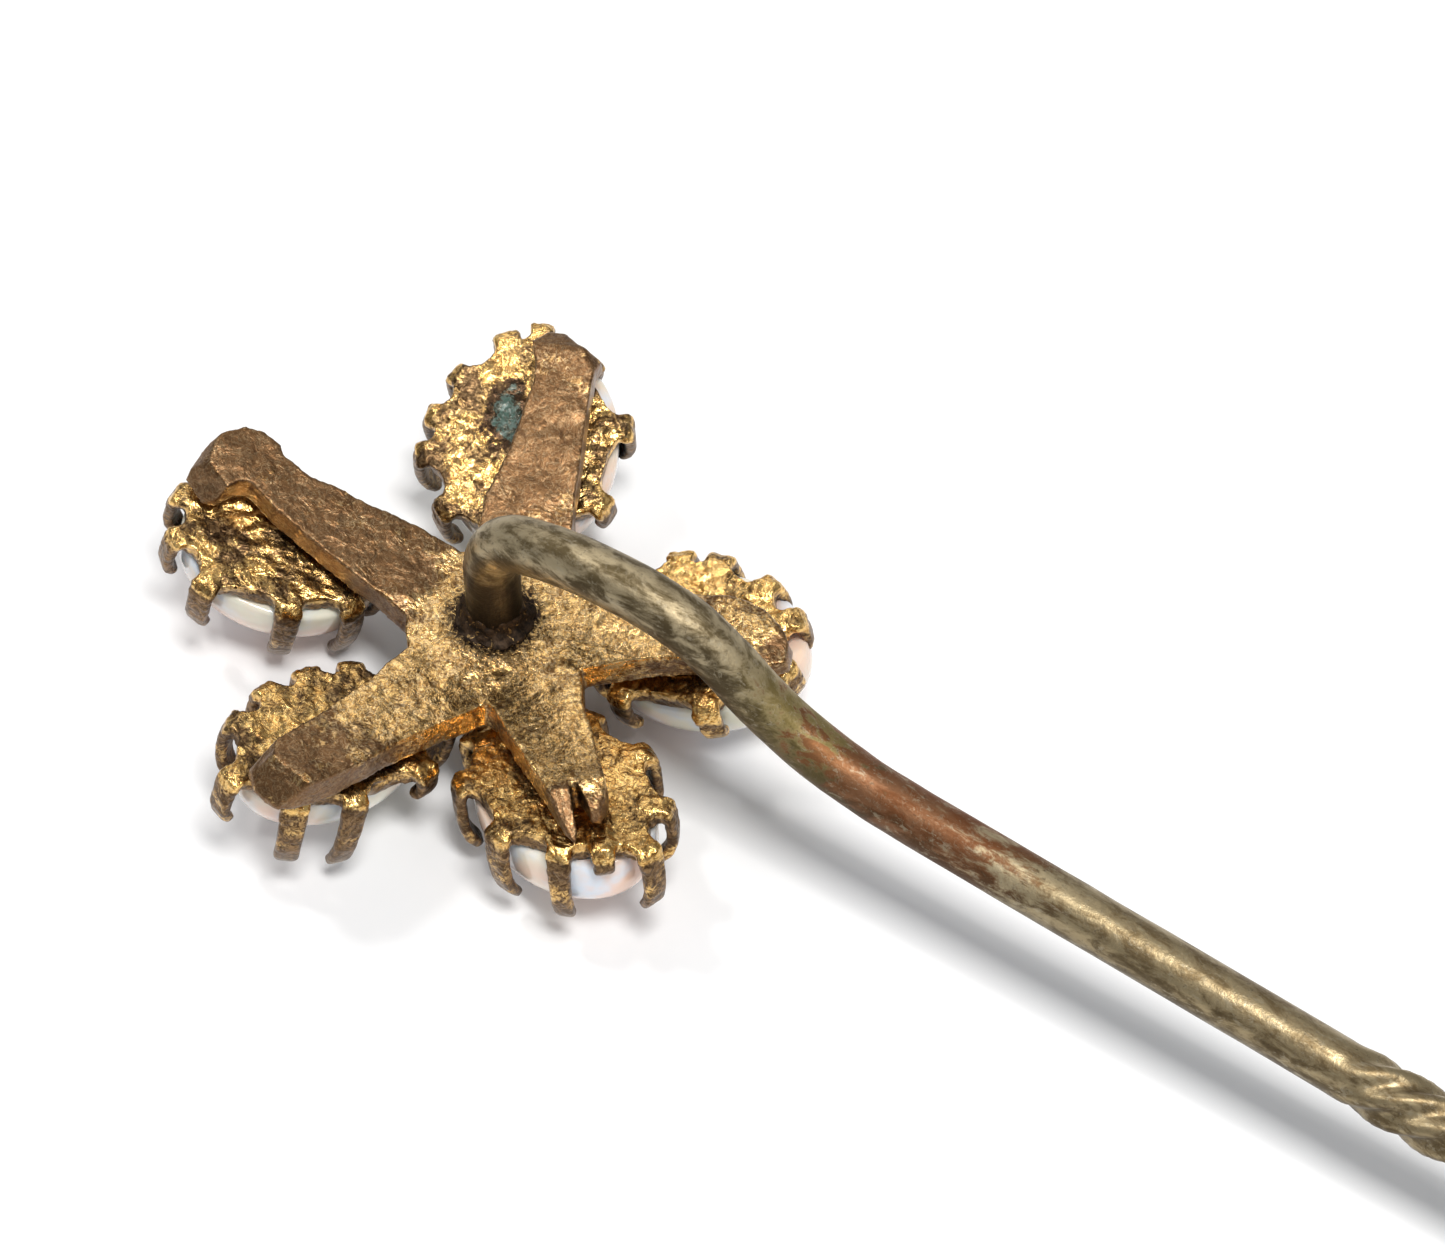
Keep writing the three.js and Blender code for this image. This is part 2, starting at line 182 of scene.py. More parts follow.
class Finish:  # a material and its nodes, with patterns sized in millimetres
    def __init__(self, name, metallic, roughness, ior=1.5):
        self.material = bpy.data.materials.new(name)
        self.material.use_nodes = True
        self.tree = self.material.node_tree
        self.shader = self.tree.nodes["Principled BSDF"]
        self.shader.inputs["Metallic"].default_value = metallic
        self.shader.inputs["Roughness"].default_value = roughness
        self.shader.inputs["IOR"].default_value = ior
        coordinates = self.node("ShaderNodeTexCoord")
        self.places = self.node("ShaderNodeMapping")
        self.places.inputs["Scale"].default_value = (1 / mm,) * 3
        self.link(coordinates.outputs["Object"], self.places.inputs["Vector"])

    def node(self, kind, **settings):
        node = self.tree.nodes.new(kind)
        for key, value in settings.items():
            setattr(node, key, value)
        return node

    def link(self, source, target):
        self.tree.links.new(source, target)

    def feed(self, socket, value):  # a number or colour is set, anything else is linked
        if isinstance(value, (int, float)):
            socket.default_value = value
        elif isinstance(value, tuple):
            needsAlpha = len(value) == 3 and len(socket.default_value) == 4
            socket.default_value = (*value, 1) if needsAlpha else value
        else:
            self.link(value, socket)

    def noise(self, size, detail=4, roughness=0.6, stretch=(1, 1, 1), distortion=0):
        mapping = self.node("ShaderNodeMapping")
        mapping.inputs["Scale"].default_value = [1 / (size * amount) for amount in stretch]
        self.link(self.places.outputs["Vector"], mapping.inputs["Vector"])
        node = self.node("ShaderNodeTexNoise")
        node.inputs["Scale"].default_value = 1
        node.inputs["Detail"].default_value = detail
        node.inputs["Roughness"].default_value = roughness
        node.inputs["Distortion"].default_value = distortion
        self.link(mapping.outputs["Vector"], node.inputs["Vector"])
        return node.outputs["Fac"]

    def creases(self, size, width):  # fine crooked lines, as on crumpled foil
        away = self.math("ABSOLUTE", self.math("SUBTRACT", self.noise(size, 3, 0.6, distortion=1.5), 0.5))
        return self.fade(away, 0, width, 1, 0)

    def attribute(self, name):
        return self.node("ShaderNodeAttribute", attribute_name=name).outputs["Fac"]

    def edges(self):  # about 0.5 on a flat, more on a sharp edge
        return self.node("ShaderNodeNewGeometry").outputs["Pointiness"]

    def facing(self, direction):  # 1 where the surface faces that way
        node = self.node("ShaderNodeVectorMath", operation="DOT_PRODUCT")
        self.link(self.node("ShaderNodeNewGeometry").outputs["Normal"], node.inputs[0])
        node.inputs[1].default_value = direction
        return node.outputs["Value"]

    def crevice(self, reach):  # 1 in the open and 0 deep in a corner
        node = self.node("ShaderNodeAmbientOcclusion", samples=6)
        node.inputs["Distance"].default_value = reach * mm
        return node.outputs["AO"]

    def math(self, operation, first, second=0.0):
        node = self.node("ShaderNodeMath", operation=operation)
        self.feed(node.inputs[0], first)
        self.feed(node.inputs[1], second)
        return node.outputs[0]

    def fade(self, value, start, end, low=0.0, high=1.0):
        node = self.node("ShaderNodeMapRange", interpolation_type="SMOOTHSTEP")
        self.link(value, node.inputs["Value"])
        for key, amount in (("From Min", start), ("From Max", end), ("To Min", low), ("To Max", high)):
            node.inputs[key].default_value = amount
        return node.outputs["Result"]

    def mix(self, share, first, second, blend="MIX"):
        node = self.node("ShaderNodeMix", data_type="RGBA", blend_type=blend)
        self.feed(node.inputs["Factor"], share)
        self.feed(node.inputs["A"], first)
        self.feed(node.inputs["B"], second)
        return node.outputs["Result"]

    def bump(self, height, depth, strength=1.0, under=None):
        node = self.node("ShaderNodeBump")
        node.inputs["Strength"].default_value = strength
        node.inputs["Distance"].default_value = depth * mm
        self.link(height, node.inputs["Height"])
        if under is not None:
            self.link(under, node.inputs["Normal"])
        return node.outputs["Normal"]

    def set(self, **sockets):
        for key, value in sockets.items():
            self.feed(self.shader.inputs[key.replace("_", " ")], value)
        return self.material


def makeCastGilt():
    finish = Finish("castGilt", 1.0, 0.4)
    flakes = finish.noise(0.14, 5, 0.65, distortion=1.4)
    patches = finish.noise(0.8, 5, 0.65)
    creases = finish.creases(0.2, 0.05)
    tarnish = finish.math("ADD", finish.attribute("tarnish"), finish.fade(patches, 0.32, 0.68, -0.4, 0.4))
    tarnish = finish.math("ADD", tarnish, finish.fade(flakes, 0.35, 0.62, 0.12, -0.16))
    gold = finish.mix(finish.fade(flakes, 0.38, 0.64), (0.34, 0.18, 0.055), (0.94, 0.6, 0.23))
    brown = finish.mix(finish.fade(flakes, 0.3, 0.7), (0.11, 0.055, 0.023), (0.22, 0.115, 0.048))
    colour = finish.mix(finish.fade(tarnish, 0.2, 0.8), gold, brown)
    bright = finish.math("MULTIPLY", creases, finish.fade(tarnish, 0.2, 1.1, 0.55, 0.12))
    colour = finish.mix(bright, colour, (1.0, 0.78, 0.45))
    # painted highlight: sharp edges are painted a lighter gold
    colour = finish.mix(finish.fade(finish.edges(), 0.53, 0.6, 0.0, 0.6), colour, (0.9, 0.58, 0.24))
    pits = finish.fade(finish.noise(0.5, 5, 0.7), 0.6, 0.72, 0.0, 0.6)
    colour = finish.mix(pits, colour, (0.08, 0.045, 0.025))
    # painted shade: corners and recesses are painted near black through the occlusion mask
    recessShade = finish.fade(finish.crevice(0.35), 0.3, 0.8)
    colour = finish.mix(recessShade, (0.03, 0.017, 0.01), colour)
    # torch black and painted shade round the post, broken up by the flakes
    sootyShade = finish.math("MULTIPLY", finish.attribute("sootAndShade"), finish.fade(flakes, 0.7, 0.3, 0.6, 1.3))
    colour = finish.mix(finish.fade(sootyShade, 0.15, 0.85), colour, (0.02, 0.013, 0.01))
    normal = finish.bump(finish.noise(0.45, 4, 0.55, distortion=1.0), 0.05, 0.9)
    normal = finish.bump(flakes, 0.014, 0.8, normal)
    return finish.set(
        Base_Color=colour,
        Metallic=finish.fade(tarnish, 0.6, 1.1, 1.0, 0.85),
        Roughness=finish.fade(tarnish, 0.1, 0.9, 0.24, 0.34),
        Normal=normal,
    )


def makeCupGilt():
    finish = Finish("cupGilt", 1.0, 0.3)
    flakes = finish.noise(0.16, 5, 0.62, distortion=1.6)
    patches = finish.noise(0.7, 5, 0.6)
    creases = finish.creases(0.24, 0.04)
    tarnish = finish.math("ADD", finish.attribute("tarnish"), finish.fade(patches, 0.32, 0.68, -0.42, 0.42))
    tarnish = finish.math("ADD", tarnish, finish.fade(flakes, 0.35, 0.62, 0.12, -0.16))
    gold = finish.mix(finish.fade(flakes, 0.36, 0.64), (0.54, 0.275, 0.07), (0.98, 0.63, 0.22))
    brown = finish.mix(finish.fade(flakes, 0.4, 0.65), (0.08, 0.045, 0.022), (0.27, 0.16, 0.075))
    colour = finish.mix(finish.fade(tarnish, 0.15, 0.8), gold, brown)
    bright = finish.math("MULTIPLY", creases, finish.fade(tarnish, 0.1, 0.9, 0.4, 0.05))
    colour = finish.mix(bright, colour, (1.0, 0.8, 0.42))
    colour = finish.mix(finish.attribute("greyTip"), colour, (0.2, 0.155, 0.12))
    ragged = finish.fade(finish.noise(0.3, 4), 0.3, 0.7, -0.3, 0.3)
    spot = finish.math("ADD", finish.attribute("verdigris"), ragged)
    colour = finish.mix(finish.fade(spot, 0.1, 0.5), colour, (0.06, 0.035, 0.02))
    green = finish.math("MULTIPLY", finish.fade(spot, 0.62, 0.9), finish.fade(flakes, 0.6, 0.42, 0.35, 1.0))
    colour = finish.mix(green, colour, (0.05, 0.1, 0.078))
    # painted shade: corners and recesses are painted near black through the occlusion mask
    recessShade = finish.fade(finish.crevice(0.3), 0.25, 0.8)
    colour = finish.mix(recessShade, (0.018, 0.012, 0.008), colour)
    normal = finish.bump(finish.noise(0.38, 4, 0.55, distortion=1.2), 0.06, 0.9)
    normal = finish.bump(flakes, 0.014, 0.7, normal)
    return finish.set(
        Base_Color=colour,
        Metallic=finish.fade(green, 0.2, 0.6, 1.0, 0.1),
        Roughness=finish.fade(tarnish, 0.1, 0.9, 0.2, 0.33),
        Normal=normal,
    )


def makeOpalGlass():
    finish = Finish("opalGlass", 0.0, 0.07)
    clouds = finish.noise(2.2, 3, 0.5)
    fine = finish.noise(0.9, 3, 0.5)
    colour = finish.mix(finish.fade(clouds, 0.36, 0.64), (0.95, 0.66, 0.52), (0.88, 0.84, 0.68))
    colour = finish.mix(finish.fade(fine, 0.43, 0.72), colour, (0.78, 0.84, 0.93))
    shader = finish.shader
    shader.inputs["Subsurface Weight"].default_value = 0.4
    shader.inputs["Subsurface Radius"].default_value = (1.0, 0.8, 0.7)
    shader.inputs["Subsurface Scale"].default_value = 0.6 * mm
    shader.inputs["Coat Weight"].default_value = 0.4
    shader.inputs["Coat Roughness"].default_value = 0.03
    return finish.set(
        Base_Color=colour,
        Roughness=finish.fade(finish.noise(0.3, 3), 0.4, 0.7, 0.05, 0.16),
        Normal=finish.bump(finish.noise(0.8, 2), 0.01, 0.4),
    )


def makePinMetal():
    finish = Finish("pinMetal", 0.85, 0.4)
    along = finish.attribute("along")
    mottle = finish.noise(0.3, 7, 0.66, (2.6, 1, 1), 0.4)
    fine = finish.noise(0.12, 4, 0.7)
    colour = finish.mix(finish.fade(mottle, 0.38, 0.6), (0.12, 0.088, 0.042), (0.42, 0.34, 0.21))
    yellow = finish.math("MULTIPLY", finish.fade(along, 5.6, 7.2), finish.fade(along, 9.2, 8.0))
    colour = finish.mix(finish.math("MULTIPLY", yellow, 0.65), colour, (0.25, 0.19, 0.06))
    ragged = finish.math("ADD", along, finish.fade(mottle, 0.3, 0.7, -1.6, 1.6))
    copper = finish.math("MULTIPLY", finish.fade(ragged, 7.4, 8.6), finish.fade(ragged, 13.4, 11.4))
    colour = finish.mix(finish.math("MULTIPLY", copper, 0.85), colour, (0.17, 0.055, 0.018))
    brassy = finish.fade(along, 11.5, 15.0)
    brass = finish.mix(finish.fade(mottle, 0.38, 0.6), (0.17, 0.12, 0.058), (0.34, 0.265, 0.15))
    colour = finish.mix(brassy, colour, brass)
    streaks = finish.math("MULTIPLY", finish.creases(0.5, 0.05), finish.fade(fine, 0.45, 0.6, 0.0, 0.22))
    colour = finish.mix(streaks, colour, (0.46, 0.4, 0.28))
    colour = finish.mix(finish.fade(fine, 0.58, 0.7, 0.0, 0.5), colour, (0.05, 0.035, 0.02))
    # painted shade: the side of the wire facing down and towards -y is painted dark, its edge broken by the
    # mottle
    lowerSideShade = finish.facing((0.35, -0.85, -0.4))
    lowerSideShade = finish.math("ADD", lowerSideShade, finish.fade(mottle, 0.35, 0.65, 0.25, -0.25))
    colour = finish.mix(finish.fade(lowerSideShade, 0.3, 0.9, 0.0, 0.65), colour, (0.05, 0.034, 0.016))
    scuffs = finish.fade(finish.noise(0.16, 6, 0.72, (2.2, 1, 1), 0.4), 0.56, 0.64, 0.0, 0.45)
    colour = finish.mix(scuffs, colour, (0.42, 0.36, 0.25))
    # torch black and painted shade low on the post
    colour = finish.mix(finish.fade(finish.attribute("sootAndShade"), 0.1, 0.9), colour, (0.018, 0.012, 0.008))
    # painted shade: corners and recesses are painted dark through the occlusion mask
    recessShade = finish.fade(finish.crevice(0.4), 0.3, 0.8)
    colour = finish.mix(recessShade, (0.04, 0.028, 0.016), colour)
    normal = finish.bump(finish.noise(0.25, 5, 0.65), 0.022, 0.8)
    roughness = finish.fade(mottle, 0.35, 0.65, 0.54, 0.42)
    roughness = finish.math("ADD", roughness, finish.fade(along, 3.0, 4.2, 0.0, 0.06))
    roughness = finish.math("SUBTRACT", roughness, finish.fade(along, 11.5, 15.0, 0.0, 0.14))
    return finish.set(
        Base_Color=colour, Roughness=roughness, Normal=normal)


def makeSolder():
    finish = Finish("blackSolder", 0.8, 0.6)
    lumps = finish.noise(0.2, 5, 0.7)
    crumbs = finish.fade(finish.noise(0.14, 4, 0.6, distortion=1.0), 0.6, 0.68)
    colour = finish.mix(finish.fade(lumps, 0.35, 0.65), (0.016, 0.011, 0.008), (0.08, 0.05, 0.03))
    colour = finish.mix(crumbs, colour, (0.5, 0.32, 0.13))
    return finish.set(
        Base_Color=colour,
        Roughness=finish.fade(crumbs, 0.0, 1.0, 0.6, 0.3),
        Normal=finish.bump(lumps, 0.05, 0.9),
    )


castGilt = makeCastGilt()
cupGilt = makeCupGilt()
opalGlass = makeOpalGlass()
pinMetal = makePinMetal()
blackSolder = makeSolder()
print("materials made")

# An arm has one or more plates, each an outline of (along, across) and the facets filed off its top:
# a place that the facet starts from, the way it falls in degrees, and its slope.
arms = {
    1: {
        "bearing": 180,
        "plates": [(
            [(0.4, 1.1), (2.1, 0.85), (3.8, 0.77), (5.2, 0.64), (6.0, 0.45), (6.2, 0.6), (6.35, 1.05),
             (6.75, 1.25), (7.2, 1.0), (7.25, 0.4), (7.1, -0.15), (6.85, -0.54), (6.45, -0.7), (6.0, -0.68),
             (5.8, -0.53), (5.1, -0.48), (4.7, -0.6), (3.7, -0.75), (2.7, -0.98), (0.4, -1.1)],
            [((6.75, 0.68), 72, 60), ((7.08, 0.2), 20, 55)],
        )],
        "tarnish": (1.0, 2.5, 1.15),
    },
    2: {
        "bearing": 112.5,
        "plates": [(
            [(0.4, 1.05), (2.0, 0.9), (2.8, 0.9), (3.6, 0.69), (4.1, 0.56), (5.0, 0.46), (5.6, 0.38),
             (6.05, 0.43), (6.5, 0.58), (6.84, 0.28), (6.87, -0.05), (6.6, -0.4), (6.3, -0.98),
             (6.0, -0.87), (5.65, -0.88), (4.1, -0.95), (3.2, -0.99), (2.5, -1.07), (0.4, -1.1)],
            [((6.45, 0), 0, 35), ((6.1, -0.8), -60, 40)],
        )],
        "tarnish": (1.5, 2.6, 1.1),
    },
    3: {
        "bearing": -105.5,
        "plates": [(
            [(0.4, 1.4), (1.84, 1.28), (3.35, 1.1), (5.07, 1.06), (5.9, 0.92), (6.4, 0.72), (6.5, 0.1),
             (6.3, -0.36), (6.05, -0.36), (5.2, -0.36), (3.7, -0.48), (3.0, -0.56), (2.2, -0.74),
             (0.4, -1.1)],
            [((5.93, 0.2), 8, 48), ((6.0, -0.05), -50, 52)],
        )],
        "tarnish": (3.2, 5.0, 0.95),
    },
    4: {
        "bearing": -36.7,
        "plates": [(
            [(0.4, 1.4), (1.56, 1.23), (2.63, 0.92), (3.44, 0.83), (4.3, 0.7), (4.75, 0.64), (4.7, 0.0),
             (4.75, -0.54), (4.0, -0.63), (3.0, -0.73), (1.93, -0.83), (1.45, -1.07), (0.4, -1.2)],
            [((4.55, 0), 0, 22)],
        ), (
            [(4.4, -0.06), (4.9, -0.12), (5.4, -0.22), (5.72, -0.38), (5.3, -0.5), (4.7, -0.56),
             (4.4, -0.58)],
            [((4.75, -0.3), -14, 40)],
        ), (
            [(4.3, 0.04), (4.8, 0.06), (5.25, 0.1), (5.35, 0.3), (5.1, 0.52), (4.8, 0.64), (4.4, 0.68)],
            [((4.7, 0.3), 12, 26)],
        )],
        "tarnish": (4.0, 5.6, 0.6),
    },
    5: {
        "bearing": 26,
        "plates": [(
            [(0.4, 1.1), (2.5, 1.0), (4.0, 0.82), (5.07, 0.7), (5.5, 0.48), (5.9, 0.05), (6.1, -0.3),
             (6.05, -0.75), (5.75, -0.87), (5.0, -0.82), (3.7, -0.74), (2.9, -0.8), (2.0, -0.92),
             (0.4, -1.1)],
            [((5.1, 0.3), 38, 26), ((5.2, -0.3), -24, 20)],
        )],
        "tarnish": (3.2, 4.8, 0.55),
    },
}
starShape = {
    "thickness": 0.75, "hubRadius": 1.95, "hubRise": 0.03, "voxel": 0.05, "soften": 2,
    "crinkle": 0.022, "crinkleSize": 0.28, "swell": 0.06, "swellSize": 1.1,
    "hubTarnish": 0.22, "wallTarnish": 0.4, "prongTarnish": 0.6, "sootShadeReach": (0.5, 1.55),
}


def armShare(place, arm):  # how far out along the arm, and 0 off to its sides
    local = dishMatrix(arm["bearing"]).inverted() @ place
    return local.x if abs(local.y) < 1.5 else 0


def prongShade(place):  # the long prong of arm 4 is dark
    local = dishMatrix(arms[4]["bearing"]).inverted() @ place
    onProng = -1.2 < local.y and local.x < 6.5
    return smoothStep(local.x, 4.3, 4.8) * smoothStep(-local.y, -0.02, 0.14) if onProng else 0


def starTarnish(place):
    base = starShape["hubTarnish"]
    value = base
    for arm in arms.values():
        start, end, amount = arm["tarnish"]
        value = max(value, base + (amount - base) * smoothStep(armShare(place, arm), start, end))
    side = dishMatrix(0).inverted() @ Vector((math.hypot(place.x, place.y), 0, place.z))
    value += starShape["wallTarnish"] * smoothStep(-side.z, 0.1, 0.25)
    return value + starShape["prongTarnish"] * prongShade(place)


def postSootAndShade(place):  # black left by the torch round the post, together with painted shade round the foot of the post under the arch
    away = (place - Vector((*headPlace["postOffset"], 0))).length
    return 1 - smoothStep(away, *starShape["sootShadeReach"])


def buildStar():
    bm = bmesh.new()
    thick = starShape["thickness"]
    for arm in arms.values():
        matrix = dishMatrix(arm["bearing"])
        for outline, facets in arm["plates"]:
            geom = slab(bm, outline, 0, thick, matrix)
            for place, direction, slope in facets:
                geom = shave(bm, geom, place, direction, slope, matrix)
    radius = starShape["hubRadius"]
    turns = [math.radians(turn) for turn in range(0, 360, 12)]
    hub = [(radius * math.cos(turn), radius * math.sin(turn)) for turn in turns]
    slab(bm, hub, starShape["hubRise"], thick)
    bm = fused(bm, starShape["voxel"], starShape["soften"])
    roughen(bm, starShape["crinkleSize"], starShape["crinkle"], 3.1,
            lambda place: 1 - 0.6 * starTarnish(place))  # tarnished metal is smoother
    roughen(bm, starShape["swellSize"], starShape["swell"], 8.4)
    paint(bm, "tarnish", starTarnish)
    paint(bm, "sootAndShade", postSootAndShade)
    return addPiece("starFrame", bm, castGilt, "star_frame", hubCentre)


# Each claw is its angle round the cup from the outer end in degrees, how far it stands out,
# and its length, where 1 is the usual one. The stone is how much smaller it is than its cup,
# its girdle, its dome, and how far it sits off centre.
cups = {
    1: {"along": 5.0, "across": -0.03, "bearing": -174, "turn": 199, "grow": (-0.1, 0),
        "claws": [(28, -0.04, 0.78), (62, 0.12, 0.86), (107, -0.12, 1.1), (144, -0.02, 1.2),
                  (178, -0.05, 1), (212, -0.25, 1), (247, -0.4, 1), (284, -0.4, 1), (320, -0.25, 1),
                  (354, -0.1, 0.72)],
        "stone": (0.1, 0.42, 1.46, (-0.1, 0))},
    2: {"along": 4.66, "across": -0.08, "bearing": 119, "turn": 113.7, "grow": (0, 0.22),
        "claws": [(1, 0.12, 1), (22, 0, 1), (57, -0.06, 1), (83, 0, 1), (104, 0.1, 1), (136, 0, 0.9),
                  (188, 0, 1), (241, 0.08, 0.5), (284, 0.08, 0.7), (325, -0.1, 0.5)],
        "stone": (0.08, 0.36, 1.4, (0.1, -0.1))},
    3: {"along": 3.83, "across": 0.1, "bearing": -113, "turn": -115.7, "grow": (0.0, -0.1),
        "claws": [(5, 0.1, 0.76), (47, -0.03, 1.06), (79, -0.03, 1.13), (119, 0.08, 0.4), (160, 0, 0.8),
                  (200, 0, 1), (240, 0, 1), (264, 0, 1), (288, 0, 0.85), (318, -0.04, 0.78)],
        "stone": (0.3, 0.2, 1.2, (0.1, 0))},
    4: {"along": 3.38, "across": 0.11, "bearing": -38, "turn": -17, "grow": (0, 0),
        "claws": [(1, 0.36, 0.85), (33, 0.1, 0.74), (76, 0, 0.8), (115, 0, 1), (156, 0, 1), (196, 0, 1),
                  (236, 0, 0.95), (277, 0.04, 1), (312, -0.06, 1.02), (338, -0.06, 0.3)],
        "stone": (0.1, 0.42, 1.38, (0.06, 0))},
    5: {"along": 3.59, "across": -0.2, "bearing": 38, "turn": 16.6, "grow": (0, 0.03),
        "claws": [(20, -0.02, 0.5), (51, -0.06, 0.6), (84, 0.02, 1), (105, 0.04, 1), (143, -0.2, 0.9),
                  (182, -0.3, 0.75), (216, -0.25, 0.7), (246, -0.05, 0.6), (293, 0.06, 0.5),
                  (342, 0.03, 0.55)],
        "stone": (0.06, 0.4, 1.36, (0.2, 0.1))},
}
cupShape = {
    "long": 2.36, "short": 1.72, "plateTop": -1.05, "plateThickness": 0.4, "scallop": 0.18,
    "seatInset": 0.2, "seatThickness": 0.14, "clawWidth": 0.27, "clawDepth": 0.14, "voxel": 0.05, "soften": 2,
    "crinkle": 0.055, "crinkleSize": 0.36,
}
# the middle of a claw from its root, as (outward, height below the plate's top), and its width there
clawLine = [(-0.5, 0.15, 1.0), (-0.2, 0.14, 1.02), (0.02, 0.13, 1.08), (0.12, 0.19, 1.14),
            (0.17, 0.42, 1.05), (0.19, 0.9, 0.96), (0.17, 1.35, 0.92), (0.08, 1.7, 0.94),
            (-0.06, 1.92, 0.86), (-0.14, 1.99, 0.5)]

clawSpread = {"lean": 0.06, "curl": 0.04, "width": (0.9, 1.12), "stretch": (0.95, 1.02)}  # no two claws alike


def cupMatrix(cup):
    spin = swing(cup["turn"] - cup["bearing"])
    return dishMatrix(cup["bearing"]) @ Matrix.Translation((cup["along"], cup["across"], 0)) @ spin


def ovalSpot(cup, angle, grow=0.0):
    long, short = cupShape["long"] + cup["grow"][0], cupShape["short"] + cup["grow"][1]
    x, y = long * math.cos(angle), short * math.sin(angle)
    outward = Vector((x / long ** 2, y / short ** 2, 0)).normalized()
    return Vector((x, y, 0)) + outward * grow, outward


def clawRings(cup, angle, reach, length, chance):
    spot, outward = ovalSpot(cup, math.radians(angle), reach)
    across = Vector((-outward.y, outward.x, 0))
    lean = chance.uniform(-clawSpread["lean"], clawSpread["lean"])
    width = cupShape["clawWidth"] * chance.uniform(*clawSpread["width"])
    stretch = chance.uniform(*clawSpread["stretch"]) * length
    curl = chance.uniform(-clawSpread["curl"], clawSpread["curl"]) + 0.12 * max(0, 1 - length)
    centres = [spot + outward * (out + curl * max(0, fall - 0.9)) + across * lean * fall
               + Vector((0, 0, cupShape["plateTop"] - fall * stretch)) for out, fall, share in clawLine]
    rings = []
    for index, (centre, (out, fall, share)) in enumerate(zip(centres, clawLine)):
        ahead = centres[min(index + 1, len(centres) - 1)] - centres[max(index - 1, 0)]
        thick = ahead.cross(across).normalized()
        ring = []
        for step in range(12):
            turn = 2 * math.pi * (step + 0.5) / 12
            x = math.copysign(abs(math.cos(turn)) ** 0.5, math.cos(turn))
            y = math.copysign(abs(math.sin(turn)) ** 0.5, math.sin(turn))
            depth = cupShape["clawDepth"] * min(1, share)
            ring.append(centre + across * x * width * share + thick * y * depth)
        rings.append(ring)
    return rings


def buildCup(number):
    cup = cups[number]
    chance = random.Random(40 + number)
    bm = bmesh.new()
    rim, seat = [], []
    for step in range(90):
        angle = 2 * math.pi * step / 90
        gaps = [(abs((math.degrees(angle) - claw + 180) % 360 - 180), reach)
                for claw, reach, length in cup["claws"]]
        reach = sum(out / (gap + 2) ** 2 for gap, out in gaps) / sum(1 / (gap + 2) ** 2 for gap, out in gaps)
        dip = cupShape["scallop"] * smoothStep(min(gaps)[0], 5, 14)
        rim.append(ovalSpot(cup, angle, reach - dip)[0].xy)
        seat.append(ovalSpot(cup, angle, 0.5 * reach - cupShape["seatInset"])[0].xy)
    slab(bm, rim, cupShape["plateTop"], cupShape["plateThickness"])
    slab(bm, seat, cupShape["plateTop"] - 0.1, cupShape["plateThickness"] + cupShape["seatThickness"] - 0.1)
    for angle, reach, length in cup["claws"]:
        sweptBar(bm, clawRings(cup, angle, reach, length, chance))
    bm = fused(bm, cupShape["voxel"], cupShape["soften"])
    top = cupShape["plateTop"]
    roughen(bm, cupShape["crinkleSize"], cupShape["crinkle"], 7.7 * number,
            lambda place: 1 - 0.8 * smoothStep(top - place.z, 0.3, 0.9))
    paint(bm, "tarnish", lambda place: cupTarnish(number, top - place.z))
    paint(bm, "greyTip", lambda place: 0.7 * smoothStep(top - place.z, 1.2, 1.9))
    matrix = cupMatrix(cup)
    paint(bm, "verdigris", lambda place: verdigrisAt(matrix @ place))
    bmesh.ops.transform(bm, matrix=matrix, verts=bm.verts[:])
    return addPiece(f"clawCup{number}", bm, cupGilt, f"claw_cup_{number}", hubCentre)


dullness = {1: 0.48, 2: 0.5, 3: 0.4, 4: 0.28, 5: 0.18}


def cupTarnish(number, depth):  # the shoulders stay bright and the walls below them are dark
    wall = smoothStep(depth, 0.15, 0.35) - 0.3 * smoothStep(depth, 0.5, 0.9)
    return dullness[number] + 0.75 * wall


verdigrisSpot = {"bearing": 112.5, "along": 5.1, "across": 0.9, "length": 1.1, "width": 0.7}


def verdigrisAt(place):
    local = dishMatrix(verdigrisSpot["bearing"]).inverted() @ place
    away = math.hypot((local.x - verdigrisSpot["along"]) / verdigrisSpot["length"],
                      (local.y - verdigrisSpot["across"]) / verdigrisSpot["width"])
    return 1 - smoothStep(away, 0.2, 1.1)


stoneShape = {"back": -1.58, "fullness": 0.84, "steps": 64}


def buildStone(number):
    bm = bmesh.new()
    cup = cups[number]
    back = stoneShape["back"]
    shrink, girdle, dome, shift = cup["stone"]
    profile = [(0, back), (0.5, back), (0.95, back), (0.985, back - 0.03), (1, back - 0.08)]
    for step in range(21):
        angle = math.pi / 2 * step / 20
        wide, deep = (abs(part) ** stoneShape["fullness"] for part in (math.cos(angle), math.sin(angle)))
        profile.append((wide if step < 20 else 0, back - girdle - dome * deep))
    line = [bm.verts.new((radius, 0, height)) for radius, height in profile]
    edges = [bm.edges.new(pair) for pair in zip(line, line[1:])]
    bmesh.ops.spin(bm, geom=line + edges, cent=(0, 0, 0), axis=(0, 0, 1), angle=2 * math.pi,
                   steps=stoneShape["steps"], use_merge=True)
    bmesh.ops.remove_doubles(bm, verts=bm.verts[:], dist=1e-4)
    size = [cupShape[key] + grow - shrink for key, grow in zip(("long", "short"), cup["grow"])]
    bmesh.ops.scale(bm, vec=(*size, 1), verts=bm.verts[:])
    bmesh.ops.transform(bm, matrix=cupMatrix(cup) @ Matrix.Translation((*shift, 0)), verts=bm.verts[:])
    return addPiece(f"opalStone{number}", bm, opalGlass, f"opal_stone_{number}", hubCentre)


